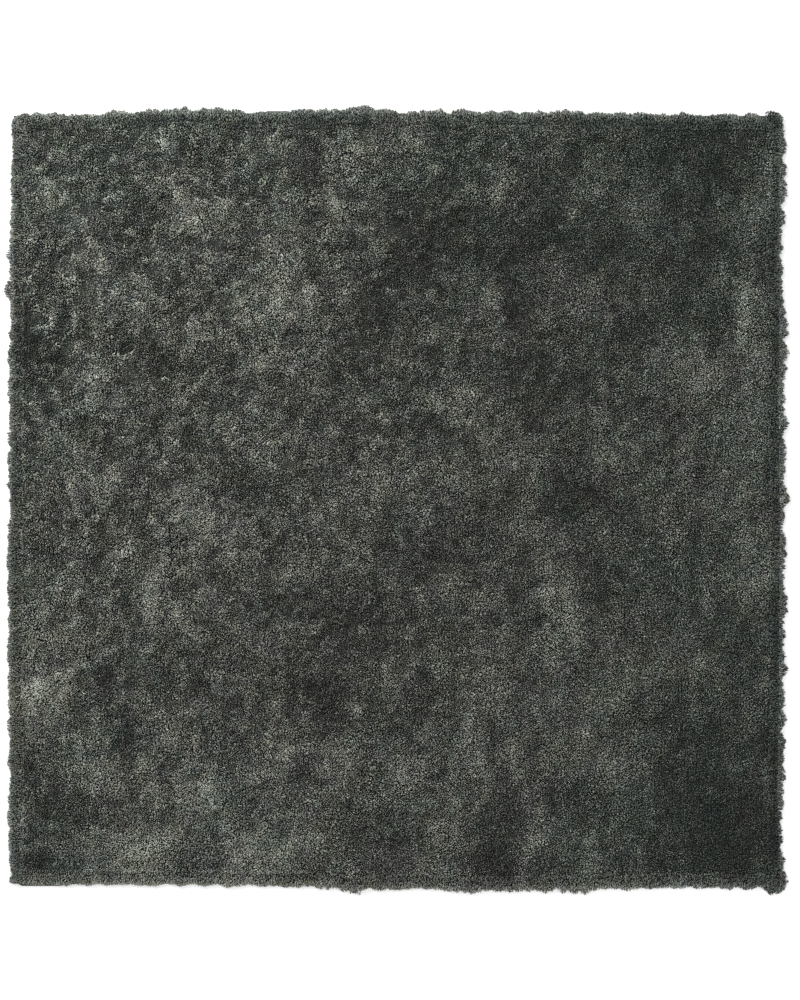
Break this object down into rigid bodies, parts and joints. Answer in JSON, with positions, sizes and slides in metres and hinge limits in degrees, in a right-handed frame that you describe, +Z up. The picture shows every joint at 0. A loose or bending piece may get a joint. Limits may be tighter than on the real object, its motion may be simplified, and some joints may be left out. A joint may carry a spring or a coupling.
{
  "type": "shag rug",
  "caption": "Square shag rug lying flat: a thick, lumpy pile whose edge falls in locks over a bound edge, on a woven backing cloth; it softens and warms a floor.",
  "frame": {"origin": "on the floor, under the middle of the rug's box", "axes": "+Z up out of the pile, +X to the picture's right, +Y to the picture's top"},
  "size_m": [2.0094, 2.03, 0.0411],
  "materials": {
    "pile": "long soft yarn, slightly glossy",
    "backing": "plain woven cloth, matt",
    "tape": "ribbed tape, matt"
  },
  "bodies": {
    "root": {"shag_pile": "pile", "backing_cloth": "backing", "binding_front": "tape", "binding_back": "tape", "binding_left": "tape", "binding_right": "tape"}
  },
  "joints": []
}
